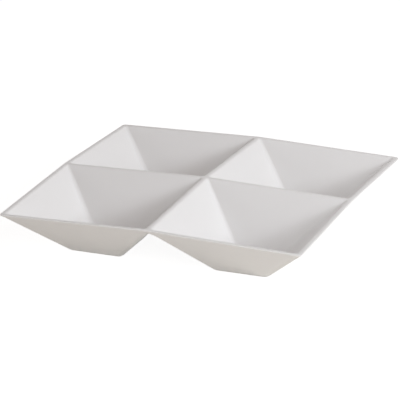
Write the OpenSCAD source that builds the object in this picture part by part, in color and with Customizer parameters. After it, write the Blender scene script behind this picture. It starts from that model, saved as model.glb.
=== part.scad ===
// Square serving dish with four wells.
//
// Each quarter of the dish is a well: a square pyramid turned upside down, with
// its tip cut off flat. Where two wells meet, their walls lean against each
// other and make a ridge with a round crest above and a valley below. Where a
// well meets the outside, its two walls end in a lip, which is the rim.
//
// The rim isn't level. Its four corners are lowest, the middle of each side is
// higher, and the centre of the dish is highest, so each well faces a little
// outwards. The top of each well still lies in one plane.
//
// X runs to the right, Y to the back and Z up. The origin is on the table under
// the centre of the dish. All four quarters are the same, turned by 90 degrees,
// so every shape is worked out once, for the back right quarter.

/* [Dish] */
// Length of a side of the dish, over the rim
side = 250; // [220:1:290]
// Height of the rim's four outer corners above the table
corner_h = 38; // [32:0.5:42]
// Height of the middle of each side above the corners (the centre is twice as high)
mid_rise = 3.5; // [0:0.25:6]
// Radius of the outer corners, seen from above
corner_r = 3.5; // [2.5:0.25:8]

/* [Walls] */
// Slope of the walls, in degrees up from level
wall_slope = 45; // [42:0.5:52]
// Thickness of the walls, square to their faces
wall_t = 3.2; // [2.8:0.1:4]
// Thickness of the floor of each well
floor_t = 3.2; // [2.4:0.1:5]
// Radius of the creases between two walls of a well, at the rim
crease_r = 2.25; // [1.5:0.25:5]
// Radius of the same creases at the floor
floor_crease_r = 4.5; // [4:0.25:8]
// Radius of the cove between the walls and the floor
cove_r = 6; // [3:0.25:9]
// Radius of the outside corners at the base of each well
base_r = 4.5; // [3.5:0.25:8]
// Radius of the heel between the outside walls and the base
heel_r = 1.5; // [0.5:0.1:2.5]

/* [Rim and ridges] */
// Radius of the crest of the ridges and of the rim's inner edge
crest_r = 3.6; // [2:0.1:4.5]
// Width of the level strip along the top of each ridge
crest_flat = 0.6; // [0.2:0.1:1.4]
// Radius of the rim's outer edge
edge_r = 0.65; // [0.4:0.05:0.9]
// Height of the legs by which rim and ridges stand on the wells, below the valleys
leg_h = 3; // [2:0.25:6]

/* [Feet] */
// Height of the foot ring under each well
foot_h = 1; // [0.6:0.1:3]
// Width of the foot ring's tread
foot_w = 3; // [2:0.25:5]
// Distance from the heel in to the foot ring
foot_inset = 1; // [0.5:0.1:2]
// Radius of the foot ring's inner corners
foot_bore_r = 2; // [1:0.25:4]

/* [Hidden] */

// Colour of the glaze, and of the bare clay of the feet
glaze = [0.93, 0.925, 0.915];
bare_clay = [0.87, 0.85, 0.81];

// Steps along a quarter turn of a crease (an even number), a crest, an edge and a cove
crease_steps = 8;
crest_steps = 4;
edge_steps = 6;
cove_steps = 5;
// Facets of the foot rings' round corners
foot_facets = 48;

// Directions in which the four ridges run, as angles seen from above. A quarter of
// the dish has the angle of the ridge on its clockwise side.
right_angle = 0;
back_angle = 90;
left_angle = 180;
front_angle = 270;

// Level thickness of a sloping wall
wall_level = wall_t / sin(wall_slope);
// Length of the two tangents of each round edge, from the sharp edge that it replaces
crest_t = crest_r * tan(wall_slope / 2);
cove_t = cove_r * tan(wall_slope / 2);
heel_t = heel_r * tan(wall_slope / 2);
edge_t = edge_r / tan(wall_slope / 2);
// Width between the sharp edges of a ridge
ridge_w = crest_flat + 2 * crest_t;
// Where the outside wall, carried on up, would meet the plane of the rim
skin_x = side / 2 - edge_r + edge_t;
// Centre of a well on both axes, between the ridge's edge and the rim's inner edge
well_c = (ridge_w / 2 + skin_x - wall_level) / 2;

// Half the side of a well's mouth, and of its outside at the plane of the rim
mouth_half = well_c - ridge_w / 2;
skin_half = mouth_half + wall_level;
skin_r = corner_r - edge_r + edge_t;
// Half the side of the base outside, and of the floor inside
base_half = skin_half - (rim_z([well_c, well_c]) - foot_h) / tan(wall_slope);
floor_half = base_half + floor_t / tan(wall_slope) - wall_level;
floor_z = foot_h + floor_t;
// Share of the way down the outside at which the walls of two wells meet
valley_share = (skin_half - well_c) / (skin_half - base_half);
valley_r = skin_r + (base_r - skin_r) * valley_share;
// Depth of the seam on which rim and ridges stand, below the plane of the rim
seam_d = (wall_level - ridge_w / 2) * tan(wall_slope) + leg_h;
// Length that the round end of a well's mouth takes from each side
meeting_run = ridge_w / 2 + crease_r;
// The foot ring
foot_half = base_half - heel_t - foot_inset;
foot_r = base_r - heel_t - foot_inset;

// Height of the plane of the rim over a place on the back right quarter
function rim_z(p) = corner_h + mid_rise * (side - p.x - p.y) / (side / 2);

// Place on the plane of the rim, or some way below it
function on_rim(p, drop = 0) = [p.x, p.y, rim_z(p) - drop];

// Place at a given height
function at_z(p, z) = [p.x, p.y, z];

// Place part of the way from p to q, as a share or as a length
function between(p, q, share) = p + (q - p) * share;
function towards(p, q, length) = p + (q - p) * length / norm(q - p);

// Parabola that leaves p for a sharp corner and turns smoothly towards q
function rounded(p, sharp, q, steps) =
    [for (i = [0:steps]) let (t = i / steps)
        p * (1 - t) * (1 - t) + sharp * 2 * t * (1 - t) + q * t * t];

// Mirror image of a place in the plane between two wells, or of a list turned round
function across(p) = [p.x, -p.y, p.z];
function reversed(list) = [for (i = [len(list) - 1:-1:0]) list[i]];

// Step j of the round corner k of a square with the given half side and radius.
// Corner 0 is the outer one and corner 2 is at the centre of the dish.
function corner(k, j, half, r) =
    let (
        turn = 90 * (k + j / crease_steps),
        right = k == 0 || k == 3 ? 1 : -1,
        back = k < 2 ? 1 : -1
    )
    [well_c + right * (half - r) + r * cos(turn), well_c + back * (half - r) + r * sin(turn)];

// The same, but square and cut off where the next well begins, apart from the outer corner.
// t runs from -1 to 1 over the corner and is 0 at the mitre.
function meeting(k, j, half, r) =
    let (
        t = 2 * j / crease_steps - 1,
        near = well_c - half,
        far = well_c + half,
        run = meeting_run * t,
        end = 2 * well_c
    )
    k == 0 ? corner(k, j, half, r) :
    k == 1 ? (t <= 0 ? [-run, far] : [near, end - run]) :
    k == 2 ? (t <= 0 ? [near, -run] : [run, near]) :
             (t < 0 ? [end + run, near] : [far, run]);

// Sharp edges of a well, before they are rounded
function mouth(k, j) = on_rim(corner(k, j, mouth_half, crease_r));
function floor_edge(k, j) = at_z(corner(k, j, floor_half, floor_crease_r), floor_z);
function skin_top(k, j) = on_rim(corner(k, j, skin_half, skin_r));
function base_edge(k, j) = at_z(corner(k, j, base_half, base_r), foot_h);

// Place where a line down a wall crosses the plane of the seam
function seam(top, bottom) = between(top, bottom, seam_d / (rim_z(bottom) - bottom.z));
function inner_seam(k, j) = seam(mouth(k, j), floor_edge(k, j));
function outer_seam(k, j) = seam(skin_top(k, j), base_edge(k, j));

// Round edge from a well's inside wall to the level top, from the seam upwards
function crest(k, j) =
    let (flat = on_rim(corner(k, j, mouth_half + crest_t, crease_r + crest_t)))
    concat(
        [inner_seam(k, j)],
        rounded(towards(mouth(k, j), floor_edge(k, j), crest_t), mouth(k, j), flat, crest_steps)
    );

// Line along the middle of a ridge's top, which goes on along the rim
function top_line(k, j) = on_rim(meeting(k, j, well_c, crease_r + ridge_w / 2));

// Round outer edge of the rim, from the level top to the outside wall
function edge(k, j) =
    [for (i = [0:edge_steps]) let (
        turn = (180 - wall_slope) * i / edge_steps,
        out = edge_r * (sin(turn) - 1)
    ) on_rim(meeting(k, j, side / 2 + out - well_c, corner_r + out), edge_r * (1 - cos(turn)))];

// Line along the valley under a ridge, which goes on along the outside wall
function valley(k, j) =
    let (
        p = meeting(k, j, well_c, valley_r),
        over = [well_c, well_c] + (p - [well_c, well_c]) * skin_half / well_c
    )
    at_z(p, rim_z(over) + (foot_h - rim_z(over)) * valley_share);

// Solid through sections that all have as many points. Each cap is a flat part of
// both ends, as a list of points of the section.
module loft(sections, caps) {
    count = len(sections[0]);
    last = len(sections) - 1;
    polyhedron(
        points = [for (section = sections) each section],
        faces = concat(
            [for (i = [0:last - 1], j = [0:count - 1])
                let (a = i * count + j, b = i * count + (j + 1) % count)
                each [[a, a + count, b + count], [a, b + count, b]]],
            caps,
            [for (cap = caps) [for (i = reversed(cap)) last * count + i]]
        )
    );
}

// Square with round corners, given its half side
module rounded_square(half, r) {
    square([2 * half, 2 * (half - r)], center = true);
    square([2 * (half - r), 2 * half], center = true);
    for (x = [-1, 1], y = [-1, 1])
        translate([x * (half - r), y * (half - r)]) circle(r, $fn = foot_facets);
}

// Shell of a well: up the outside from the base, over the seam, and down the inside
module well(angle) {
    steps = [for (k = [0:3], j = [0:crease_steps]) [k, j]];
    heel = [for (s = steps) rounded(
        at_z(corner(s[0], s[1], base_half - heel_t, base_r - heel_t), foot_h),
        base_edge(s[0], s[1]),
        towards(base_edge(s[0], s[1]), skin_top(s[0], s[1]), heel_t),
        crest_steps
    )];
    cove = [for (s = steps) rounded(
        towards(floor_edge(s[0], s[1]), mouth(s[0], s[1]), cove_t),
        floor_edge(s[0], s[1]),
        at_z(corner(s[0], s[1], floor_half - cove_t, floor_crease_r - cove_t), floor_z),
        cove_steps
    )];
    rings = concat(
        [for (i = [0:crest_steps]) [for (line = heel) line[i]]],
        [[for (s = steps) outer_seam(s[0], s[1])]],
        [[for (s = steps) inner_seam(s[0], s[1])]],
        [for (i = [0:cove_steps]) [for (line = cove) line[i]]]
    );
    color(glaze) rotate(angle) loft(rings, [[for (i = [0:len(steps) - 1]) i]]);
}

// Lip along the two outer sides of a well, from one ridge round the corner to the next
module rim(angle) {
    steps = concat(
        [for (j = [crease_steps / 2:crease_steps]) [3, j]],
        [for (j = [0:crease_steps]) [0, j]],
        [for (j = [0:crease_steps / 2]) [1, j]]
    );
    sections = [for (s = steps) concat(
        crest(s[0], s[1]),
        [top_line(s[0], s[1])],
        edge(s[0], s[1]),
        [valley(s[0], s[1]), outer_seam(s[0], s[1])]
    )];
    // The mitre against the ridge ends at the top line and the valley. The rest of the
    // end stands against the next lip.
    top = crest_steps + 2;
    low = len(sections[0]) - 2;
    mitre = concat([for (i = [0:top]) i], [low, low + 1]);
    butt = [for (i = [top:low]) i];
    color(glaze) rotate(angle) loft(sections, [mitre, butt]);
}

// Ridge from the centre to the middle of a side, mitred at both ends
module ridge(angle) {
    steps = concat(
        [for (j = [crease_steps / 2:crease_steps]) [2, j]],
        [for (j = [0:crease_steps / 2]) [3, j]]
    );
    sections = [for (s = steps) let (flank = crest(s[0], s[1]), leg = outer_seam(s[0], s[1]))
        concat(
            flank,
            [top_line(s[0], s[1])],
            reversed([for (p = flank) across(p)]),
            [across(leg), valley(s[0], s[1]), leg]
        )];
    // Each end has two flat faces, which meet in the upright line from crest to valley
    top = crest_steps + 2;
    low = len(sections[0]) - 2;
    near_face = concat([for (i = [0:top]) i], [low, low + 1]);
    far_face = [for (i = [top:low]) i];
    color(glaze) rotate(angle) loft(sections, [near_face, far_face]);
}

// Foot ring under a well, bare where it stands on the table
module foot(angle) {
    color(bare_clay) rotate(angle) translate([well_c, well_c, 0])
        linear_extrude(foot_h) difference() {
            rounded_square(foot_half, foot_r);
            rounded_square(foot_half - foot_w, foot_bore_r);
        }
}

module well_front_left() well(left_angle);
module well_front_right() well(front_angle);
module well_back_right() well(right_angle);
module well_back_left() well(back_angle);

module rim_front_left() rim(left_angle);
module rim_front_right() rim(front_angle);
module rim_back_right() rim(right_angle);
module rim_back_left() rim(back_angle);

module ridge_front() ridge(front_angle);
module ridge_right() ridge(right_angle);
module ridge_back() ridge(back_angle);
module ridge_left() ridge(left_angle);

module foot_front_left() foot(left_angle);
module foot_front_right() foot(front_angle);
module foot_back_right() foot(right_angle);
module foot_back_left() foot(back_angle);

well_front_left();
well_front_right();
well_back_right();
well_back_left();
rim_front_left();
rim_front_right();
rim_back_right();
rim_back_left();
ridge_front();
ridge_right();
ridge_back();
ridge_left();
foot_front_left();
foot_front_right();
foot_back_right();
foot_back_left();
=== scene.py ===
"""Dresses the square serving dish with four wells.

The dish is satin white porcelain. Each quarter is a well: a square pyramid turned upside
down, with its tip cut off flat. Where two wells meet, their walls make a ridge with a round
crest above and a valley below, and where a well meets the outside, they end in a lip.
Each well stands on a low foot ring of bare clay.

Every surface is worked out once, for the back right quarter, and turned by quarter turns.
"""

import logging
import math
from collections.abc import Callable
from dataclasses import dataclass, field
from enum import Enum
from typing import ClassVar

import bpy
import numpy as np
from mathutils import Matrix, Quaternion, Vector


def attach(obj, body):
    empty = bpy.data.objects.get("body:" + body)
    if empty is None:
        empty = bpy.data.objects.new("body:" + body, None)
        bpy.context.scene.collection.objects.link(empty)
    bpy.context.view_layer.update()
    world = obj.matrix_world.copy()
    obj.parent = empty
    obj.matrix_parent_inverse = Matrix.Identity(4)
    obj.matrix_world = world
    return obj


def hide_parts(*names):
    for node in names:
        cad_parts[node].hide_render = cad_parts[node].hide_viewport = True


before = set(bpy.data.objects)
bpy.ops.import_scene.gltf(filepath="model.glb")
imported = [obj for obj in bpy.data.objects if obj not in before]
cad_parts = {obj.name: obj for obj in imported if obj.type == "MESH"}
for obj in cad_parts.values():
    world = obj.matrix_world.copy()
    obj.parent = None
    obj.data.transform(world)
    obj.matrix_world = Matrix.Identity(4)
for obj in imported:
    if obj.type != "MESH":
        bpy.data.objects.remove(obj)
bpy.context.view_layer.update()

log = logging.getLogger("dish")

Places = np.ndarray  # an array that ends in x, y and z
Surface = Callable[[np.ndarray, np.ndarray], Places]  # places at turns and shares
Line = Callable[[np.ndarray], Places]  # places at turns

QUARTER_TURN = math.pi / 2
MEETING_TURNS = 0.25  # half of a corner's arc, beside which lips and ridges meet
WHITE = (1, 1, 1, 1)


def mm(value: float) -> float:
    """A length in millimetres, given in metres."""
    return value / 1000


def linked(name: str, data: bpy.types.ID) -> bpy.types.Object:
    """Makes an object of a mesh, lamp or camera and links it to the scene.

    Args:
        name: The object's name.
        data: The mesh, lamp or camera.

    Returns:
        The object, at the origin.
    """
    thing = bpy.data.objects.new(name, data)
    bpy.context.scene.collection.objects.link(thing)
    return thing


class Quarter(Enum):
    """A quarter of the dish. Its value counts the quarter turns from the back right one."""

    back_right = 0
    back_left = 1
    front_left = 2
    front_right = 3


class Side(Enum):
    """A side of the dish. Its value counts the quarter turns from the right one."""

    right = 0
    back = 1
    left = 2
    front = 3


def between(start: Places, end: Places, share: np.ndarray | float) -> Places:
    """Places that lie a share of the way from start to end."""
    return start + (end - start) * share


def towards(start: Places, end: Places, length: np.ndarray | float) -> Places:
    """Places that lie a length away from start, on the straight line to end."""
    way = end - start
    return start + way * length / np.linalg.norm(way, axis=-1, keepdims=True)


def raised(plan: np.ndarray, height: np.ndarray | float) -> Places:
    """Places over a plan of x and y, at a height."""
    height = np.broadcast_to(height, plan.shape[:-1])
    return np.concatenate([plan, height[..., None]], axis=-1)


@dataclass(frozen=True)
class DishForm:
    """Driving sizes of the dish, in metres, and the lines on which its surfaces hang.

    A place on a line is chosen by its turn. Each unit goes a quarter of the way round a
    well: in its first half round the corner, and in its second half along the side after
    it. Corner 0 is the outer corner and corner 2 is at the centre of the dish.
    """

    side: float = mm(250)
    corner_height: float = mm(38)
    middle_rise: float = mm(3.5)
    corner_radius: float = mm(3.5)
    wall_slope: float = math.radians(45)
    wall_thickness: float = mm(3.2)
    floor_thickness: float = mm(3.2)
    crease_radius: float = mm(2.25)
    floor_crease_radius: float = mm(4.5)
    cove_radius: float = mm(6)
    base_radius: float = mm(4.5)
    heel_radius: float = mm(1.5)
    crest_radius: float = mm(3.6)
    crest_flat: float = mm(0.6)
    edge_radius: float = mm(0.65)
    leg_height: float = mm(3)
    foot_height: float = mm(1)
    foot_width: float = mm(3)
    foot_inset: float = mm(1)
    foot_bore_radius: float = mm(2)
    valley_fillet: float = mm(1.6)

    @property
    def half_slope(self) -> float:
        """Tangent of half the slope, which gives a round edge's run from its radius."""
        return math.tan(self.wall_slope / 2)

    @property
    def wall_level(self) -> float:
        """Level thickness of a wall: its thickness over the sine of its slope."""
        return self.wall_thickness / math.sin(self.wall_slope)

    @property
    def crest_run(self) -> float:
        """Length that the round crest takes from each of its two faces."""
        return self.crest_radius * self.half_slope

    @property
    def cove_run(self) -> float:
        """Length that the cove takes from the wall and from the floor."""
        return self.cove_radius * self.half_slope

    @property
    def heel_run(self) -> float:
        """Length that the round heel takes from the wall and from the base."""
        return self.heel_radius * self.half_slope

    @property
    def edge_run(self) -> float:
        """Distance from the rim's round outer edge out to the sharp edge it replaces."""
        return self.edge_radius / self.half_slope

    @property
    def ridge_width(self) -> float:
        """Width between the sharp edges of a ridge: its flat and both crest runs."""
        return self.crest_flat + 2 * self.crest_run

    @property
    def well_centre(self) -> float:
        """Centre of a well on both axes, midway between ridge and outer wall."""
        skin = self.side / 2 - self.edge_radius + self.edge_run
        return (self.ridge_width / 2 + skin - self.wall_level) / 2

    @property
    def mouth_half(self) -> float:
        """Half the side of a well's mouth, between its sharp edges."""
        return self.well_centre - self.ridge_width / 2

    @property
    def skin_half(self) -> float:
        """Half the side of the outside at the plane of the rim."""
        return self.mouth_half + self.wall_level

    @property
    def skin_radius(self) -> float:
        """Radius of the outside corners at the plane of the rim."""
        return self.corner_radius - self.edge_radius + self.edge_run

    @property
    def base_half(self) -> float:
        """Half the side of the base: the outside, less its run down the slope."""
        drop = self.corner_height + self.middle_rise * self._inwards(2 * self.well_centre)
        return self.skin_half - (drop - self.foot_height) / math.tan(self.wall_slope)

    @property
    def floor_half(self) -> float:
        """Half the side of the floor inside, one wall in from the outside."""
        return self.base_half + self.floor_thickness / math.tan(self.wall_slope) - self.wall_level

    @property
    def floor_height(self) -> float:
        """Height of the floor above the table."""
        return self.foot_height + self.floor_thickness

    @property
    def valley_share(self) -> float:
        """Share of the way down the outside at which the walls of two wells meet."""
        return (self.skin_half - self.well_centre) / (self.skin_half - self.base_half)

    @property
    def valley_radius(self) -> float:
        """Radius of the outside corners at the height of the valley."""
        return self.skin_radius + (self.base_radius - self.skin_radius) * self.valley_share

    @property
    def seam_depth(self) -> float:
        """Depth of the seam of lips and ridges on the wells, below the plane of the rim."""
        valley_depth = (self.wall_level - self.ridge_width / 2) * math.tan(self.wall_slope)
        return valley_depth + self.leg_height

    @property
    def meeting_run(self) -> float:
        """Distance from the middle of a ridge to the end of the arc of a corner beside it."""
        return self.ridge_width / 2 + self.crease_radius

    @property
    def foot_half(self) -> float:
        """Half the side of a foot ring."""
        return self.base_half - self.heel_run - self.foot_inset

    @property
    def foot_radius(self) -> float:
        """Radius of a foot ring's outer corners."""
        return self.base_radius - self.heel_run - self.foot_inset

    def _inwards(self, x_and_y: np.ndarray | float) -> np.ndarray | float:
        """Number of half sides inwards from the outer corner, where x and y have that sum."""
        return (self.side - x_and_y) / (self.side / 2)

    def on_rim(self, plan: np.ndarray, drop: np.ndarray | float = 0.0) -> Places:
        """Places on the tilted plane of the rim, or a drop below it.

        The plane is lowest at the outer corner and rises by the middle rise along each
        half side: height = corner height + rise * (side - x - y) / (side / 2).

        Args:
            plan: The x and y of the places.
            drop: How far they lie below the plane.

        Returns:
            The places, in an array that ends in 3.
        """
        height = self.corner_height + self.middle_rise * self._inwards(plan.sum(axis=-1))
        return raised(plan, height - drop)

    def ring(self, turns: np.ndarray, half: float, radius: float) -> np.ndarray:
        """Plan of a square with round corners about the centre of the well.

        The centre of the arc stays at its corner in the first half of each quarter, and
        goes straight to the next corner in the second half. The place is that centre plus
        the radius in the direction of the turn.

        Args:
            turns: Where on the line, one unit for each quarter.
            half: Half the side of the square.
            radius: Radius of its corners.

        Returns:
            The x and y, in an array that ends in 2.
        """
        quarter = np.floor(turns)
        share = turns - quarter
        angle = (quarter + np.minimum(2 * share, 1)) * QUARTER_TURN
        run = np.maximum(2 * share - 1, 0)[..., None]
        corner = self._corner(quarter, half - radius)
        following = self._corner(quarter + 1, half - radius)
        arc = radius * np.stack([np.cos(angle), np.sin(angle)], axis=-1)
        return self.well_centre + between(corner, following, run) + arc

    @staticmethod
    def _corner(quarter: np.ndarray, reach: float) -> np.ndarray:
        """Corner of a square about zero: its reach along the diagonal of that quarter."""
        angle = (quarter + 0.5) * QUARTER_TURN
        return math.sqrt(2) * reach * np.stack([np.cos(angle), np.sin(angle)], axis=-1)

    def lip_line(self, turns: np.ndarray, half: float, radius: float) -> np.ndarray:
        """Plan of the same square's two outer sides, run straight on to the next wells.

        The centre of the arc comes in along the right side, waits at the outer corner, and
        leaves along the back side. The turns go from a quarter past corner 3 to a quarter
        past corner 5, which is corner 1 again.

        Args:
            turns: Where on the line, as for the ring.
            half: Half the side of the square.
            radius: Radius of its outer corner.

        Returns:
            The x and y, in an array that ends in 2.
        """
        way = turns - Lip.start
        far = self.well_centre + half - radius
        knots, stops = (0, MEETING_TURNS, Lip.bend), (0, self.meeting_run, far)
        x = np.interp(Lip.end - Lip.start - way, knots, stops)
        y = np.interp(way, knots, stops)
        angle = np.clip(2 * (way - Lip.bend), 0, 1) * QUARTER_TURN
        return np.stack([x + radius * np.cos(angle), y + radius * np.sin(angle)], axis=-1)

    def ridge_line(self, turns: np.ndarray) -> np.ndarray:
        """Plan of the line along the middle of the right ridge, from the centre outwards.

        Args:
            turns: Where on the line, in step with the mouth of the well beside it.

        Returns:
            The x and y, in an array that ends in 2.
        """
        first, last = Ridge.start + MEETING_TURNS, Ridge.end - MEETING_TURNS
        end = 2 * self.well_centre
        stops = (0, self.meeting_run, end - self.meeting_run, end)
        x = np.interp(turns, (Ridge.start, first, last, Ridge.end), stops)
        return np.stack([x, np.zeros_like(x)], axis=-1)

    def mouth(self, turns: np.ndarray) -> Places:
        """Sharp edge of the mouth, before the crest rounds it."""
        return self.on_rim(self.ring(turns, self.mouth_half, self.crease_radius))

    def floor_edge(self, turns: np.ndarray) -> Places:
        """Sharp edge between wall and floor, before the cove rounds it."""
        plan = self.ring(turns, self.floor_half, self.floor_crease_radius)
        return raised(plan, self.floor_height)

    def skin_top(self, turns: np.ndarray) -> Places:
        """Line in which the outside wall would meet the plane of the rim."""
        return self.on_rim(self.ring(turns, self.skin_half, self.skin_radius))

    def base_edge(self, turns: np.ndarray) -> Places:
        """Sharp edge between outside wall and base, before the heel rounds it."""
        return raised(self.ring(turns, self.base_half, self.base_radius), self.foot_height)

    def _seam(self, top: Places, bottom: Places) -> Places:
        """Places where the lines down a wall cross the plane of the seam."""
        height = self.on_rim(bottom[..., :2])[..., 2] - bottom[..., 2]
        return between(top, bottom, (self.seam_depth / height)[..., None])

    def inner_seam(self, turns: np.ndarray) -> Places:
        """Seam on the inside wall."""
        return self._seam(self.mouth(turns), self.floor_edge(turns))

    def outer_seam(self, turns: np.ndarray) -> Places:
        """Seam on the outside wall."""
        return self._seam(self.skin_top(turns), self.base_edge(turns))

    def crest_foot(self, turns: np.ndarray) -> Places:
        """Line on the inside wall where the round crest begins."""
        return towards(self.mouth(turns), self.floor_edge(turns), self.crest_run)

    def crest_top(self, turns: np.ndarray) -> Places:
        """Line on the plane of the rim where the round crest ends."""
        half, radius = self.mouth_half + self.crest_run, self.crease_radius + self.crest_run
        return self.on_rim(self.ring(turns, half, radius))

    def lip_top(self, turns: np.ndarray) -> Places:
        """Line along the top of a lip, in step with the middle of the ridges."""
        radius = self.crease_radius + self.ridge_width / 2
        return self.on_rim(self.lip_line(turns, self.well_centre, radius))

    def ridge_top(self, turns: np.ndarray) -> Places:
        """Line along the middle of the top of a ridge."""
        return self.on_rim(self.ridge_line(turns))

    def edge(self, turns: np.ndarray, shares: np.ndarray) -> Places:
        """Round outer edge of the rim, from its flat top to the outside wall.

        At an angle past the top, the edge lies its radius times (1 - sine) inside the
        outermost line, and its radius times (1 - cosine) below the plane of the rim.

        Args:
            turns: Where along the rim.
            shares: Share of the way round the edge, in an array of one row.

        Returns:
            The places, one row for each turn and one column for each share.
        """
        angle = (math.pi - self.wall_slope) * shares.ravel()
        out = self.edge_radius * (np.sin(angle) - 1)
        drop = self.edge_radius * (1 - np.cos(angle))
        half, radius = self.side / 2 - self.well_centre, self.corner_radius
        lines = [
            self.on_rim(self.lip_line(turns.ravel(), half + o, radius + o), d)
            for o, d in zip(out, drop)
        ]
        return np.stack(lines, axis=1)

    def _valley(self, plan: np.ndarray) -> Places:
        """Places of a plan on the outside wall, at the height where two wells meet.

        The outside wall falls evenly from the plane of the rim to the base, so the height
        is the valley's share of that fall, taken where the same wall meets the rim.

        Args:
            plan: The x and y of the places.

        Returns:
            The places, in an array that ends in 3.
        """
        over = self.well_centre + (plan - self.well_centre) * self.skin_half / self.well_centre
        top = self.on_rim(over)[..., 2]
        return raised(plan, top + (self.foot_height - top) * self.valley_share)

    def lip_valley(self, turns: np.ndarray) -> Places:
        """Line along the outside wall of a lip, level with the valleys."""
        return self._valley(self.lip_line(turns, self.well_centre, self.valley_radius))

    def ridge_valley(self, turns: np.ndarray) -> Places:
        """Line along the valley under a ridge, before its fillet."""
        return self._valley(self.ridge_line(turns))

    def fillet_edge(self, turns: np.ndarray) -> Places:
        """Line on the outside wall where the valley's fillet begins.

        It lies the fillet's length away from the valley, and runs out into the valley
        where the ridge meets the lips.
        """
        length = self.valley_fillet * np.clip((Ridge.end - turns) / MEETING_TURNS, 0, 1)
        return towards(self.ridge_valley(turns), self.outer_seam(turns), length[..., None])

    def valley_side(self, turns: np.ndarray, shares: np.ndarray) -> Places:
        """Half of the valley's fillet, from the middle of the valley to the fillet's edge.

        In plan the place goes straight from valley to edge. Its height is that of the
        valley, plus the difference of the two heights times (1 + share^2) / 2.

        Args:
            turns: Where along the ridge.
            shares: Share of the way from the middle to the edge.

        Returns:
            The places.
        """
        valley, edge = self.ridge_valley(turns), self.fillet_edge(turns)
        plan = between(valley, edge, shares[..., None])[..., :2]
        drop = edge[..., 2] - valley[..., 2]
        return raised(plan, valley[..., 2] + drop * (1 + shares**2) / 2)


def ruled(start: Line, end: Line) -> Surface:
    """Surface of straight lines: place = start + share * (end - start).

    Args:
        start: Line where every straight line starts.
        end: Line where it ends.

    Returns:
        The surface.
    """

    def surface(turns: np.ndarray, shares: np.ndarray) -> Places:
        """Places of the surface at each turn and share."""
        return between(start(turns), end(turns), shares[..., None])

    return surface


def rounded(start: Line, sharp: Line, end: Line) -> Surface:
    """Surface that rounds a sharp edge with a parabola.

    With t for the share, place = (1 - t)^2 * start + 2 t (1 - t) * sharp + t^2 * end.

    Args:
        start: Line where the parabola leaves the first face.
        sharp: The sharp edge.
        end: Line where it joins the second face.

    Returns:
        The surface.
    """

    def surface(turns: np.ndarray, shares: np.ndarray) -> Places:
        """Places of the surface at each turn and share.

        Args:
            turns: The turns.
            shares: The shares.

        Returns:
            The places, in an array that ends in 3.
        """
        t = shares[..., None]
        bend = 2 * t * (1 - t) * sharp(turns)
        return (1 - t) ** 2 * start(turns) + bend + t**2 * end(turns)

    return surface


def mirrored(surface: Surface) -> Surface:
    """Mirror image of a surface in the plane y = 0, with its shares run backwards.

    Args:
        surface: The surface.

    Returns:
        The surface of the mirror image, which also points outwards.
    """

    def image(turns: np.ndarray, shares: np.ndarray) -> Places:
        """Places of the mirror image at each turn and share."""
        return surface(turns, 1 - shares) * (1, -1, 1)

    return image


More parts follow.
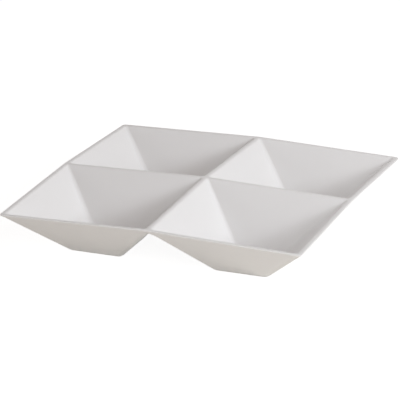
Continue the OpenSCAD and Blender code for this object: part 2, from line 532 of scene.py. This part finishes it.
@dataclass
class Patch:
    """A grid of places on one surface, one row for each turn, with normals and hollowness for
    painted shade.
    """

    places: Places
    normals: np.ndarray
    # How hollow each place is, which the glaze turns into painted shade in the hollows.
    glaze: np.ndarray

    HAIR: ClassVar[float] = 1e-5  # step of a tangent, in turns and in shares
    HOLLOW_SHADE_LENGTH: ClassVar[float] = mm(2.5)  # radius of a hollow that gets much painted shade
    PLANE_GAP: ClassVar[float] = mm(0.001)  # how far from a plane a place still lies on it
    GENTLE: ClassVar[float] = 0.2  # sine of the tilt up to which a normal is laid in a plane
    LEAST_SQUARE: ClassVar[float] = 1e-12  # square of a step where places fall together

    @classmethod
    def of(cls, surface: Surface, turns: np.ndarray, steps: int) -> "Patch":
        """Samples a surface at each turn and at even shares.

        A normal is the cross product of the two tangents, and a tangent is the difference
        of two places a hair apart on either side. At the ends of the surface it is taken a
        hair further in, so that it keeps to this side of a sharp edge.

        Args:
            surface: The surface, as a function of turns and shares.
            turns: The turns of the rows.
            steps: Number of steps across.

        Returns:
            The patch.
        """
        hair = cls.HAIR
        row, column = turns[:, None], np.linspace(0, 1, steps + 1)[None, :]
        places = surface(row, column)
        row = np.clip(row, turns[0] + hair, turns[-1] - hair)
        column = np.clip(column, hair, 1 - hair)
        along = surface(row + hair, column) - surface(row - hair, column)
        across = surface(row, column + hair) - surface(row, column - hair)
        normals = np.cross(across, along)
        normals /= np.linalg.norm(normals, axis=-1, keepdims=True)
        normals = cls._levelled(places, normals)
        return cls(places, normals, cls._hollowness(places, normals))

    @classmethod
    def disc(cls, rim: Line, turns: np.ndarray, steps: int, up: bool) -> "Patch":
        """Flat patch between the well's centre line and a level ring around it.

        Args:
            rim: The ring. The centre is the mean of its places at its four corners.
            turns: The turns of the rows.
            steps: Number of steps across.
            up: True for a floor, from the centre out. False for a base, from the rim in.

        Returns:
            The patch.
        """
        centre = rim(np.arange(len(Quarter)) + MEETING_TURNS).mean(axis=0)
        shares = np.linspace(0, 1, steps + 1) if up else np.linspace(1, 0, steps + 1)
        places = between(centre, rim(turns)[:, None, :], shares[None, :, None])
        normals = np.zeros_like(places)
        normals[..., 2] = 1 if up else -1
        return cls(places, normals, np.zeros(places.shape[:2]))

    @classmethod
    def _levelled(cls, places: Places, normals: np.ndarray) -> np.ndarray:
        """Normals on the planes x = 0 and y = 0 laid in them, where the bend is gentle.

        The surface goes on beyond such a plane as its mirror image, so the mean of both
        normals lies in the plane.

        Args:
            places: The places of the patch.
            normals: Their normals.

        Returns:
            The normals, one unit long.
        """
        for axis in (0, 1):
            on_plane = np.abs(places[..., axis]) < cls.PLANE_GAP
            gentle = np.abs(normals[..., axis]) < cls.GENTLE
            normals[..., axis] = np.where(on_plane & gentle, 0, normals[..., axis])
        return normals / np.linalg.norm(normals, axis=-1, keepdims=True)

    @classmethod
    def _hollowness(cls, places: Places, normals: np.ndarray) -> np.ndarray:
        """Hollowness, for the painted shade: 1 in a tight hollow, 0 on a flat and -1 on an edge.

        The bend of the surface is how fast its normal turns with the place, summed over
        both directions. The hollowness is minus the hyperbolic tangent of bend times length.

        Args:
            places: The places of the patch.
            normals: Their normals.

        Returns:
            The number at each place.
        """
        bend = np.zeros(places.shape[:2])
        for axis in (0, 1):
            way = np.gradient(places, axis=axis)
            turn = np.gradient(normals, axis=axis)
            square = np.maximum((way**2).sum(axis=-1), cls.LEAST_SQUARE)
            bend += (turn * way).sum(axis=-1) / square
        return -np.tanh(bend * cls.HOLLOW_SHADE_LENGTH)


@dataclass
class Shell:
    """A closed mesh sewn together from patches and from flat ends."""

    name: str
    patches: list[Patch]
    ends: list[list[tuple[int, int]]] = field(default_factory=list)

    SEWING_GAP: ClassVar[float] = mm(0.0001)
    # Layer of the hollowness, which the glaze paints as shade in the hollows.
    SHADE_LAYER: ClassVar[str] = "painted_hollow_shade"

    def build(self, turns: int) -> bpy.types.Object:
        """Makes the object, turned by quarter turns about the centre of the dish.

        Places that lie within the sewing gap of each other become one vertex. Faces of the
        patches keep the normals of their surfaces, and the flat ends keep their own, which
        a zero stands for.

        Args:
            turns: Number of quarter turns from the first quarter.

        Returns:
            The object, at the origin and linked to the scene.
        """
        places = np.concatenate([p.places.reshape(-1, 3) for p in self.patches])
        normals = np.concatenate([p.normals.reshape(-1, 3) for p in self.patches])
        glaze = np.concatenate([p.glaze.ravel() for p in self.patches])
        keys = np.round(places / self.SEWING_GAP).astype(np.int64)
        _, first, sewn = np.unique(keys, axis=0, return_index=True, return_inverse=True)
        sewn = sewn.ravel()
        corners, counts = self._squares(sewn)
        outlines = [self._outline(end, sewn) for end in self.ends]
        counts = np.append(counts, [len(outline) for outline in outlines]).astype(np.int64)
        at_ends = np.concatenate([corners[:0], *outlines])
        own = np.zeros((len(at_ends), 3))
        normals = np.append(self._turned(normals[corners], turns), own, axis=0)
        vertices = sewn[np.append(corners, at_ends)]
        # Hollowness at each vertex, for the painted shade in the hollows.
        hollow_shade = np.bincount(sewn, weights=glaze) / np.bincount(sewn)
        return self._mesh(self._turned(places[first], turns), vertices, counts, normals, hollow_shade)

    @staticmethod
    def _turned(vectors: np.ndarray, turns: int) -> np.ndarray:
        """Vectors turned by quarter turns about the upright axis.

        Args:
            vectors: The vectors, one in each row.
            turns: Number of quarter turns.

        Returns:
            The turned vectors, in the same order.
        """
        cosine, sine = ((1, 0), (0, 1), (-1, 0), (0, -1))[turns % 4]
        x, y, z = vectors.T
        return np.stack([cosine * x - sine * y, sine * x + cosine * y, z], axis=1)

    def _numbers(self) -> list[np.ndarray]:
        """Numbers of the places, counted through all patches, in the grid of each patch.

        Returns:
            A grid of numbers for each patch.
        """
        sizes = [patch.glaze.size for patch in self.patches]
        numbers = np.split(np.arange(sum(sizes)), np.cumsum(sizes)[:-1])
        return [n.reshape(patch.glaze.shape) for n, patch in zip(numbers, self.patches)]

    def _squares(self, sewn: np.ndarray) -> tuple[np.ndarray, np.ndarray]:
        """Faces of the patches' grids, wound so that they point outwards.

        A corner that falls together with the corner before it is left out, so a square
        that loses a side at a pole becomes a triangle, and a face that loses two is left
        out.

        Args:
            sewn: For each place of the patches, its vertex.

        Returns:
            The place of each corner, face by face, and the number of corners of each face.
        """
        grids = [
            np.stack([n[:-1, :-1], n[:-1, 1:], n[1:, 1:], n[1:, :-1]], axis=-1).reshape(-1, 4)
            for n in self._numbers()
        ]
        corners = np.concatenate(grids)
        kept = sewn[corners] != sewn[np.roll(corners, 1, axis=1)]
        kept &= kept.sum(axis=1, keepdims=True) > 2
        counts = kept.sum(axis=1)
        return corners[kept], counts[counts > 0]

    def _outline(self, end: list[tuple[int, int]], sewn: np.ndarray) -> np.ndarray:
        """Places round a flat end, from the patches' first or last rows in order.

        Args:
            end: For each patch in order, its number and its row, 0 or -1.
            sewn: For each place of the patches, its vertex.

        Returns:
            One place for each vertex.
        """
        numbers = self._numbers()
        loop = np.concatenate([numbers[patch][row] for patch, row in end])
        loop = loop[sewn[loop] != sewn[np.roll(loop, 1)]]
        at_start = end[0][1] == 0
        return loop[::-1] if at_start else loop

    def _mesh(
        self,
        places: Places,
        corners: np.ndarray,
        counts: np.ndarray,
        normals: np.ndarray,
        hollow_shade: np.ndarray,
    ) -> bpy.types.Object:
        """Puts the arrays into a mesh and links its object.

        Args:
            places: The place of each vertex.
            corners: The vertex of each corner, face by face, with the flat ends last.
            counts: The number of corners of each face.
            normals: The normal of each corner.
            hollow_shade: How hollow the surface is at each vertex, which sets the painted shade.

        Returns:
            The object.
        """
        mesh = bpy.data.meshes.new(self.name)
        mesh.vertices.add(len(places))
        mesh.vertices.foreach_set("co", places.astype(np.float32).ravel())
        mesh.loops.add(len(corners))
        mesh.loops.foreach_set("vertex_index", corners.astype(np.int32))
        mesh.polygons.add(len(counts))
        starts = np.cumsum(counts) - counts
        mesh.polygons.foreach_set("loop_start", starts.astype(np.int32))
        smooth = np.arange(len(counts)) < len(counts) - len(self.ends)
        mesh.polygons.foreach_set("use_smooth", smooth)
        mesh.update(calc_edges=True)
        layer = mesh.attributes.new(self.SHADE_LAYER, "FLOAT", "POINT")
        layer.data.foreach_set("value", hollow_shade.astype(np.float32))
        mesh.normals_split_custom_set(normals.tolist())
        mesh.update()
        return linked(self.name, mesh)


class Signal:
    """A number that changes over a surface, with Python's arithmetic on its socket."""

    def __init__(self, paint: "Paint", socket: bpy.types.NodeSocket) -> None:
        """Keeps the socket, and the paint whose node tree it belongs to."""
        self.paint = paint
        self.socket = socket

    def _join(self, operation: str, first: "Operand", second: "Operand") -> "Signal":
        """The result of a Math node on two values."""
        node = self.paint.node("ShaderNodeMath", {"operation": operation}, {0: first, 1: second})
        return Signal(self.paint, node.outputs[0])

    def __add__(self, other: "Operand") -> "Signal":
        """Sum."""
        return self._join("ADD", self, other)

    def __radd__(self, other: "Operand") -> "Signal":
        """Sum with a number first."""
        return self._join("ADD", other, self)

    def __sub__(self, other: "Operand") -> "Signal":
        """Difference."""
        return self._join("SUBTRACT", self, other)

    def __rsub__(self, other: "Operand") -> "Signal":
        """Difference with a number first."""
        return self._join("SUBTRACT", other, self)

    def __mul__(self, other: "Operand") -> "Signal":
        """Product."""
        return self._join("MULTIPLY", self, other)

    def __rmul__(self, other: "Operand") -> "Signal":
        """Product with a number first."""
        return self._join("MULTIPLY", other, self)

    def above(self, level: float) -> "Signal":
        """1 where the number is over the level, and 0 elsewhere."""
        return self._join("GREATER_THAN", self, level)

    def or_more(self, other: "Operand") -> "Signal":
        """The larger of two numbers."""
        return self._join("MAXIMUM", self, other)


Operand = Signal | float
Colour = tuple[float, float, float]


class Paint:
    """The node tree of a material or of the world, and the nodes that it is made of."""

    def __init__(self, owner: bpy.types.Material | bpy.types.World) -> None:
        """Empties the owner's node tree.

        Args:
            owner: The material or world that is painted.
        """
        owner.use_nodes = True
        self.tree = owner.node_tree
        self.tree.nodes.clear()
        of_world = isinstance(owner, bpy.types.World)
        self.output = "ShaderNodeOutputWorld" if of_world else "ShaderNodeOutputMaterial"

    def node(
        self,
        kind: str,
        settings: dict[str, object] | None = None,
        inputs: dict[int | str, object] | None = None,
    ) -> bpy.types.Node:
        """Adds a node.

        Args:
            kind: The node's type.
            settings: Its properties, which are set first.
            inputs: Values, signals or sockets for its inputs, by name or number.

        Returns:
            The node.
        """
        node = self.tree.nodes.new(kind)
        for name, value in (settings or {}).items():
            setattr(node, name, value)
        for key, value in (inputs or {}).items():
            source = value.socket if isinstance(value, Signal) else value
            if isinstance(source, bpy.types.NodeSocket):
                self.tree.links.new(source, node.inputs[key])
            else:
                node.inputs[key].default_value = source
        return node

    def coordinates(self) -> bpy.types.NodeSocket:
        """Object coordinates, in metres in the frame of the dish."""
        return self.node("ShaderNodeTexCoord").outputs["Object"]

    def noise(self, size: float, detail: float = 2.0, blur: float = 0.5) -> Signal:
        """Noise about a half.

        Args:
            size: Size of its largest patches, in metres.
            detail: Number of finer octaves.
            blur: Strength of each finer octave.

        Returns:
            The noise.
        """
        inputs = {
            "Vector": self.coordinates(),
            "Scale": 1 / size,
            "Detail": detail,
            "Roughness": blur,
        }
        return Signal(self, self.node("ShaderNodeTexNoise", inputs=inputs).outputs[0])

    def layer(self, name: str) -> Signal:
        """A number that the mesh carries at each vertex."""
        node = self.node("ShaderNodeAttribute", {"attribute_name": name})
        return Signal(self, node.outputs["Fac"])

    def mixed(self, first: Colour, second: Colour, share: Signal) -> bpy.types.NodeSocket:
        """A colour between two others: inputs 6 and 7 and output 2 of a Mix node."""
        inputs = {0: share, 6: (*first, 1), 7: (*second, 1)}
        return self.node("ShaderNodeMix", {"data_type": "RGBA"}, inputs).outputs[2]

    def bumped(self, height: Signal, distance: float) -> bpy.types.NodeSocket:
        """A normal tilted by a height from 0 to 1, which stands for a distance."""
        inputs = {"Height": height, "Distance": distance, "Strength": 1.0}
        return self.node("ShaderNodeBump", inputs=inputs).outputs["Normal"]

    def blended(
        self, share: Operand, first: bpy.types.Node, second: bpy.types.Node
    ) -> bpy.types.Node:
        """A shader between two others, which are inputs 1 and 2 of a Mix Shader."""
        inputs = {"Fac": share, 1: first.outputs[0], 2: second.outputs[0]}
        return self.node("ShaderNodeMixShader", inputs=inputs)

    def cover(self, shader: bpy.types.Node) -> None:
        """Gives the shader to the whole surface of the owner."""
        self.node(self.output, inputs={"Surface": shader.outputs[0]})

    def seen_directly(self) -> Signal:
        """Finds the rays that come from the camera, also by way of gloss or glass.

        Returns:
            1 for those rays, and 0 for others.
        """
        path = self.node("ShaderNodeLightPath")
        camera = Signal(self, path.outputs["Is Camera Ray"])
        glossy = camera.or_more(Signal(self, path.outputs["Is Glossy Ray"]))
        return glossy.or_more(Signal(self, path.outputs["Is Transmission Ray"]))


@dataclass(frozen=True)
class SatinGlaze:
    """White satin glaze, a shade deeper in the hollows, where shade is painted into it."""

    paler_tone: Colour = (0.855, 0.853, 0.85)
    deeper_tone: Colour = (0.812, 0.813, 0.814)
    flat_share: float = 0.5
    hollow_shade_share: float = 0.45
    cloud_share: float = 0.5
    mottle_share: float = 0.25
    roughness: float = 0.46
    mottle_roughness: float = 0.1
    hollow_roughness: float = 0.05
    ior: float = 1.5
    cloud_size: float = mm(55)
    mottle_size: float = mm(6)
    peel_size: float = mm(1.1)
    peel_depth: float = mm(0.006)
    sway_size: float = mm(48)
    sway_depth: float = mm(0.12)

    def material(self) -> bpy.types.Material:
        """Makes the glaze.

        The share of the deeper colour is that of a flat, plus painted shade in the
        hollows, plus faint clouds and mottles. The surface sways a little over
        centimetres, as pressed porcelain does, and has a fine orange peel.

        Returns:
            The material.
        """
        material = bpy.data.materials.new("satin_glaze")
        paint = Paint(material)
        # Painted shade: the glaze's colour goes deeper where the surface is hollow.
        hollow_shade = paint.layer(Shell.SHADE_LAYER).or_more(0.0)
        cloud = paint.noise(self.cloud_size) - 0.5
        mottle = paint.noise(self.mottle_size, detail=3) - 0.5
        share = self.flat_share + self.hollow_shade_share * hollow_shade
        share = share + self.cloud_share * cloud + self.mottle_share * mottle
        rough = self.roughness + self.mottle_roughness * mottle - self.hollow_roughness * hollow_shade
        peel = paint.noise(self.peel_size, detail=1) * (self.peel_depth / self.sway_depth)
        height = peel + paint.noise(self.sway_size, detail=1, blur=0.3)
        shader = paint.node(
            "ShaderNodeBsdfPrincipled",
            inputs={
                "Base Color": paint.mixed(self.paler_tone, self.deeper_tone, share),
                "Roughness": rough,
                "IOR": self.ior,
                "Normal": paint.bumped(height, self.sway_depth),
            },
        )
        paint.cover(shader)
        return material


@dataclass(frozen=True)
class BareClay:
    """Unglazed porcelain: matte, a little warm, with a fine sandy grain."""

    pale: Colour = (0.80, 0.775, 0.73)
    dark: Colour = (0.68, 0.65, 0.60)
    dark_share: float = 0.3
    cloud_share: float = 0.8
    grain_share: float = 0.5
    speck_share: float = 0.35
    speck_level: float = 0.64
    roughness: float = 0.88
    grain_roughness: float = 0.1
    cloud_size: float = mm(12)
    grain_size: float = mm(0.5)
    grain_depth: float = mm(0.03)

    def material(self) -> bpy.types.Material:
        """Makes the bare clay, with grain in its colour, its roughness and its surface.

        The share of the dark colour has a mean, plus clouds and grain, plus specks where
        the grain is over a level.

        Returns:
            The material.
        """
        material = bpy.data.materials.new("bare_clay")
        paint = Paint(material)
        cloud = paint.noise(self.cloud_size, detail=3) - 0.5
        height = paint.noise(self.grain_size, detail=3, blur=0.7)
        grain = height - 0.5
        share = self.dark_share + self.cloud_share * cloud + self.grain_share * grain
        share = share + self.speck_share * height.above(self.speck_level)
        shader = paint.node(
            "ShaderNodeBsdfPrincipled",
            inputs={
                "Base Color": paint.mixed(self.pale, self.dark, share),
                "Roughness": self.roughness + self.grain_roughness * grain,
                "Normal": paint.bumped(height, self.grain_depth),
            },
        )
        paint.cover(shader)
        return material


@dataclass
class Member:
    """A member of the dish: one shell for each quarter or side, dressed in one finish."""

    form: DishForm
    material: bpy.types.Material
    kind: ClassVar[str] = ""
    slot: ClassVar[str] = "glaze"
    fineness: ClassVar[int] = 32
    flat_steps: ClassVar[int] = 1

    def shell(self, name: str) -> Shell:
        """The member's shell in the back right quarter."""
        raise NotImplementedError

    def turns_between(self, start: float, end: float) -> np.ndarray:
        """Turns from start to end, with the fineness as the steps of each quarter."""
        return np.linspace(start, end, round((end - start) * self.fineness) + 1)

    def all_round(self) -> np.ndarray:
        """Turns all the way round a well."""
        return self.turns_between(0, len(Quarter))

    def make(self, place: Quarter | Side) -> bpy.types.Object:
        """Args:
            place: The quarter or side that it belongs to.

        Returns:
            The finished piece.
        """
        node = f"{self.kind}_{place.name}"
        piece = self.shell(f"{node}_shell").build(place.value)
        piece.data.materials.append(self.material)
        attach(piece, "root")
        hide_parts(node)
        log.info("%s: %d faces in %s", piece.name, len(piece.data.polygons), self.material.name)
        return piece


@dataclass
class Well(Member):
    """A well's walls and floor, below the seam with lips and ridges."""

    kind: ClassVar[str] = "well"
    disc_steps: int = 5
    cove_steps: int = 10
    wall_steps: int = 10
    heel_steps: int = 6

    def shell(self, name: str) -> Shell:
        """The well from the middle of its floor, over the seam, to the middle of its base.

        Args:
            name: Name of the shell.

        Returns:
            The shell.
        """
        form = self.form
        turns = self.all_round()

        def cove_foot(at: np.ndarray) -> Places:
            """Line on the floor where the cove begins."""
            half, radius = form.floor_half - form.cove_run, form.floor_crease_radius - form.cove_run
            return raised(form.ring(at, half, radius), form.floor_height)

        def cove_top(at: np.ndarray) -> Places:
            """Line on the wall where the cove ends."""
            return towards(form.floor_edge(at), form.mouth(at), form.cove_run)

        def heel_top(at: np.ndarray) -> Places:
            """Line on the outside wall where the heel begins."""
            return towards(form.base_edge(at), form.skin_top(at), form.heel_run)

        def heel_foot(at: np.ndarray) -> Places:
            """Line on the base where the heel ends."""
            half, radius = form.base_half - form.heel_run, form.base_radius - form.heel_run
            return raised(form.ring(at, half, radius), form.foot_height)

        patches = [
            Patch.disc(cove_foot, turns, self.disc_steps, up=True),
            Patch.of(rounded(cove_foot, form.floor_edge, cove_top), turns, self.cove_steps),
            Patch.of(ruled(cove_top, form.inner_seam), turns, self.wall_steps),
            Patch.of(ruled(form.inner_seam, form.outer_seam), turns, self.flat_steps),
            Patch.of(ruled(form.outer_seam, heel_top), turns, self.wall_steps),
            Patch.of(rounded(heel_top, form.base_edge, heel_foot), turns, self.heel_steps),
            Patch.disc(heel_foot, turns, self.disc_steps, up=False),
        ]
        return Shell(name, patches)


@dataclass
class Lip(Member):
    """The rim along a well's two outer sides, from one ridge round to the next."""

    kind: ClassVar[str] = "rim"
    flank_steps: int = 2
    crest_steps: int = 10
    edge_steps: int = 12
    skin_steps: int = 3
    leg_steps: int = 2
    start: ClassVar[float] = 3.25
    end: ClassVar[float] = 5.25
    bend: ClassVar[float] = 0.75  # turns from either end to the arc of the outer corner

    def shell(self, name: str) -> Shell:
        """The lip from the inner seam, over crest and outer edge, to the outer seam.

        Each end has two flat faces: a mitre against the ridge, up to the line along the
        top, and a butt against the next lip beyond that line.

        Args:
            name: Name of the shell.

        Returns:
            The shell.
        """
        form = self.form
        turns = self.turns_between(self.start, self.end)

        def edge_top(at: np.ndarray) -> Places:
            """Line where the round outer edge leaves the flat top."""
            return form.edge(at, np.zeros(1))[:, 0].reshape(*at.shape, 3)

        def edge_foot(at: np.ndarray) -> Places:
            """Line where the round outer edge joins the outside wall."""
            return form.edge(at, np.ones(1))[:, 0].reshape(*at.shape, 3)

        patches = [
            Patch.of(ruled(form.inner_seam, form.crest_foot), turns, self.flank_steps),
            Patch.of(rounded(form.crest_foot, form.mouth, form.crest_top), turns, self.crest_steps),
            Patch.of(ruled(form.crest_top, form.lip_top), turns, self.flat_steps),
            Patch.of(ruled(form.lip_top, edge_top), turns, self.flat_steps),
            Patch.of(form.edge, turns, self.edge_steps),
            Patch.of(ruled(edge_foot, form.lip_valley), turns, self.skin_steps),
            Patch.of(ruled(form.lip_valley, form.outer_seam), turns, self.leg_steps),
            Patch.of(ruled(form.outer_seam, form.inner_seam), turns, self.flat_steps),
        ]
        # The numbers of the patches that go round each flat face.
        mitre, butt = (0, 1, 2, 6, 7), (3, 4, 5)
        ends = [[(patch, row) for patch in face] for row in (0, -1) for face in (mitre, butt)]
        return Shell(name, patches, ends)


@dataclass
class Ridge(Member):
    """The ridge between two wells, from the centre of the dish to the middle of a side."""

    kind: ClassVar[str] = "ridge"
    flank_steps: int = 2
    crest_steps: int = 10
    valley_steps: int = 5
    leg_steps: int = 2
    start: ClassVar[float] = 2.25
    end: ClassVar[float] = 3.25

    def shell(self, name: str) -> Shell:
        """The ridge from one inner seam, over the crest, to the other, and its valley.

        Each end has two flat faces, one on either side of the plane through its middle.

        Args:
            name: Name of the shell.

        Returns:
            The shell.
        """
        form = self.form
        turns = self.turns_between(self.start, self.end)
        flank = [
            (ruled(form.inner_seam, form.crest_foot), self.flank_steps),
            (rounded(form.crest_foot, form.mouth, form.crest_top), self.crest_steps),
            (ruled(form.crest_top, form.ridge_top), self.flat_steps),
        ]
        leg = [
            (form.valley_side, self.valley_steps),
            (ruled(form.fillet_edge, form.outer_seam), self.leg_steps),
            (ruled(form.outer_seam, form.inner_seam), self.flat_steps),
        ]
        far_side = [(mirrored(surface), steps) for surface, steps in reversed(leg + flank)]
        strips = flank + far_side + leg
        patches = [Patch.of(surface, turns, steps) for surface, steps in strips]
        # The numbers of the patches that go round each flat face.
        near, far = (0, 1, 2, 9, 10, 11), (3, 4, 5, 6, 7, 8)
        ends = [[(patch, row) for patch in face] for row in (0, -1) for face in (near, far)]
        return Shell(name, patches, ends)


@dataclass
class FootRing(Member):
    """The low square ring of bare clay on which a well stands."""

    kind: ClassVar[str] = "foot"
    slot: ClassVar[str] = "bare_clay"
    tread_edge: float = mm(0.4)
    edge_steps: int = 4
    tread_steps: int = 2

    def shell(self, name: str) -> Shell:
        """The ring up its inner side, over the top, down its outer side and across the tread.

        Args:
            name: Name of the shell.

        Returns:
            The shell.
        """
        form = self.form
        turns = self.all_round()
        inner_half = form.foot_half - form.foot_width

        def inner(inset: float, height: float) -> Line:
            """Line round the inner side, an inset out into the clay and at a height."""
            radius = form.foot_bore_radius + inset
            return lambda at: raised(form.ring(at, inner_half + inset, radius), height)

        def outer(inset: float, height: float) -> Line:
            """Line round the outer side, an inset in from it and at a height."""
            radius = form.foot_radius - inset
            return lambda at: raised(form.ring(at, form.foot_half - inset, radius), height)

        edge, top = self.tread_edge, form.foot_height
        strips = [
            (ruled(inner(0, edge), inner(0, top)), self.flat_steps),
            (ruled(inner(0, top), outer(0, top)), self.flat_steps),
            (ruled(outer(0, top), outer(0, edge)), self.flat_steps),
            (rounded(outer(0, edge), outer(0, 0), outer(edge, 0)), self.edge_steps),
            (ruled(outer(edge, 0), inner(edge, 0)), self.tread_steps),
            (rounded(inner(edge, 0), inner(0, 0), inner(0, edge)), self.edge_steps),
        ]
        return Shell(name, [Patch.of(surface, turns, steps) for surface, steps in strips])


@dataclass
class Dish:
    """The whole dish: wells, lips and foot rings in each quarter, and a cross of ridges."""

    form: DishForm = field(default_factory=DishForm)

    def make(self) -> list[bpy.types.Object]:
        """Builds every piece of the dish.

        Returns:
            The pieces: wells, lips, ridges and foot rings.
        """
        glaze, clay = SatinGlaze().material(), BareClay().material()
        members = [
            (Well, glaze, Quarter),
            (Lip, glaze, Quarter),
            (Ridge, glaze, Side),
            (FootRing, clay, Quarter),
        ]
        pieces = []
        for member, material, places in members:
            maker = member(self.form, material)
            pieces += [maker.make(place) for place in places]
        return pieces


@dataclass(frozen=True)
class SoftLamp:
    """A square lamp with a soft, even glow, its place, width and aim in metres."""

    name: str
    place: tuple[float, float, float]
    width: float
    watts: float
    colour: Colour = (0.944, 0.969, 1.0)
    aim: tuple[float, float, float] = (0, 0, 0.02)

    def make(self) -> bpy.types.Object:
        """Makes the lamp at its place, turned to its aim.

        Returns:
            The lamp.
        """
        lamp = bpy.data.lights.new(self.name, "AREA")
        lamp.size = self.width
        lamp.energy = self.watts
        lamp.color = self.colour
        thing = linked(self.name, lamp)
        thing.location = self.place
        way = Vector(self.aim) - Vector(self.place)
        thing.rotation_euler = way.to_track_quat("-Z", "Y").to_euler()
        return thing


@dataclass
class Studio:
    """The pale floor, the soft light and the camera, whose lens is in millimetres."""

    lamps: tuple[SoftLamp, ...] = (
        SoftLamp("key_lamp", (4.618, -0.404, 1.873), 1, 62.4),
        SoftLamp("high_key_lamp", (4.264, -1.143, 2.347), 1, 53.3),
        SoftLamp("near_front_lamp", (0.317, -0.549, 0.296), 0.25, 0.885),
        SoftLamp("near_top_lamp", (0.217, 0.125, 0.433), 0.18, 0.421),
        SoftLamp("front_left_lamp", (-3.458, -3.458, 1.04), 1.8, 41.5),
    )
    floor_radius: float = 4
    floor_rings: int = 8
    floor_spokes: int = 64
    floor_colour: Colour = (0.90, 0.86, 0.79)
    floor_shadow: float = 0.3
    floor_glow: float = 1.3
    sky_colour: Colour = (1.0, 0.816, 0.715)
    sky_strength: float = 0.209
    camera_place: tuple[float, float, float] = (0.7005, -1.8024, 0.7075)
    camera_aim: tuple[float, float, float] = (-0.00698, 0.00549, 0.02252)
    camera_roll: float = math.radians(-0.003)
    camera_lens: float = 227.9

    def make(self) -> None:
        """Makes the floor, the sky, the lamps and the camera."""
        self._floor()
        self._sky()
        for lamp in self.lamps:
            lamp.make()
            log.info("%s at %s", lamp.name, lamp.place)
        self._camera()

    def _floor(self) -> bpy.types.Object:
        """Round floor on which the dish stands.

        Its places lie at the origin and on rings about it: the radius of a ring is the
        square of its number's share of all, times the radius of the floor.

        Returns:
            The floor.
        """
        angles = np.linspace(0, 4 * QUARTER_TURN, self.floor_spokes + 1)[:-1]
        radii = np.linspace(0, 1, self.floor_rings + 1)[1:] ** 2 * self.floor_radius
        x, y = np.outer(radii, np.cos(angles)), np.outer(radii, np.sin(angles))
        places = np.stack([x, y, np.zeros_like(x)], axis=-1).reshape(-1, 3)
        places = np.vstack([places, np.zeros(3)])
        ids = np.arange(x.size).reshape(x.shape)
        after = np.roll(ids, -1, axis=1)
        rings = np.stack([ids[:-1], ids[1:], after[1:], after[:-1]], axis=-1).reshape(-1, 4)
        middle = np.stack([np.full_like(ids[0], x.size), ids[0], after[0]], axis=-1)
        mesh = bpy.data.meshes.new("floor")
        mesh.from_pydata(places.tolist(), [], rings.tolist() + middle.tolist())
        mesh.materials.append(self._floor_material())
        return linked("floor", mesh)

    def _floor_material(self) -> bpy.types.Material:
        """Pale warm floor, which is white with a faint shadow where it is seen directly.

        Returns:
            The material.
        """
        material = bpy.data.materials.new("pale_floor")
        paint = Paint(material)
        pale = paint.node("ShaderNodeBsdfDiffuse", inputs={"Color": (*self.floor_colour, 1)})
        plain = paint.node("ShaderNodeBsdfDiffuse", inputs={"Color": WHITE})
        inputs = {"Color": WHITE, "Strength": self.floor_glow}
        glow = paint.node("ShaderNodeEmission", inputs=inputs)
        seen = paint.blended(self.floor_shadow, glow, plain)
        paint.cover(paint.blended(paint.seen_directly(), pale, seen))
        return material

    def _sky(self) -> None:
        """Even soft light from all round, which shows white where it is seen directly."""
        world = bpy.data.worlds.new("studio")
        bpy.context.scene.world = world
        paint = Paint(world)
        inputs = {"Color": (*self.sky_colour, 1), "Strength": self.sky_strength}
        glow = paint.node("ShaderNodeBackground", inputs=inputs)
        seen = paint.node("ShaderNodeBackground", inputs={"Color": WHITE, "Strength": 1.0})
        paint.cover(paint.blended(paint.seen_directly(), glow, seen))

    def _camera(self) -> None:
        """Camera at the photograph's viewing angle."""
        lens = bpy.data.cameras.new("camera")
        lens.lens = self.camera_lens
        camera = linked("camera", lens)
        place = Vector(self.camera_place)
        look = (Vector(self.camera_aim) - place).to_track_quat("-Z", "Y")
        camera.location = place
        camera.rotation_mode = "QUATERNION"
        camera.rotation_quaternion = look @ Quaternion((0, 0, 1), self.camera_roll)
        bpy.context.scene.camera = camera


def main() -> None:
    """Builds the studio and the dish."""
    logging.basicConfig(level=logging.INFO, format="%(name)s: %(message)s")
    bpy.context.scene.view_settings.view_transform = "Standard"
    Studio().make()
    pieces = Dish().make()
    log.info("%d pieces around %d nodes", len(pieces), len(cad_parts))


if __name__ == "__main__":
    main()
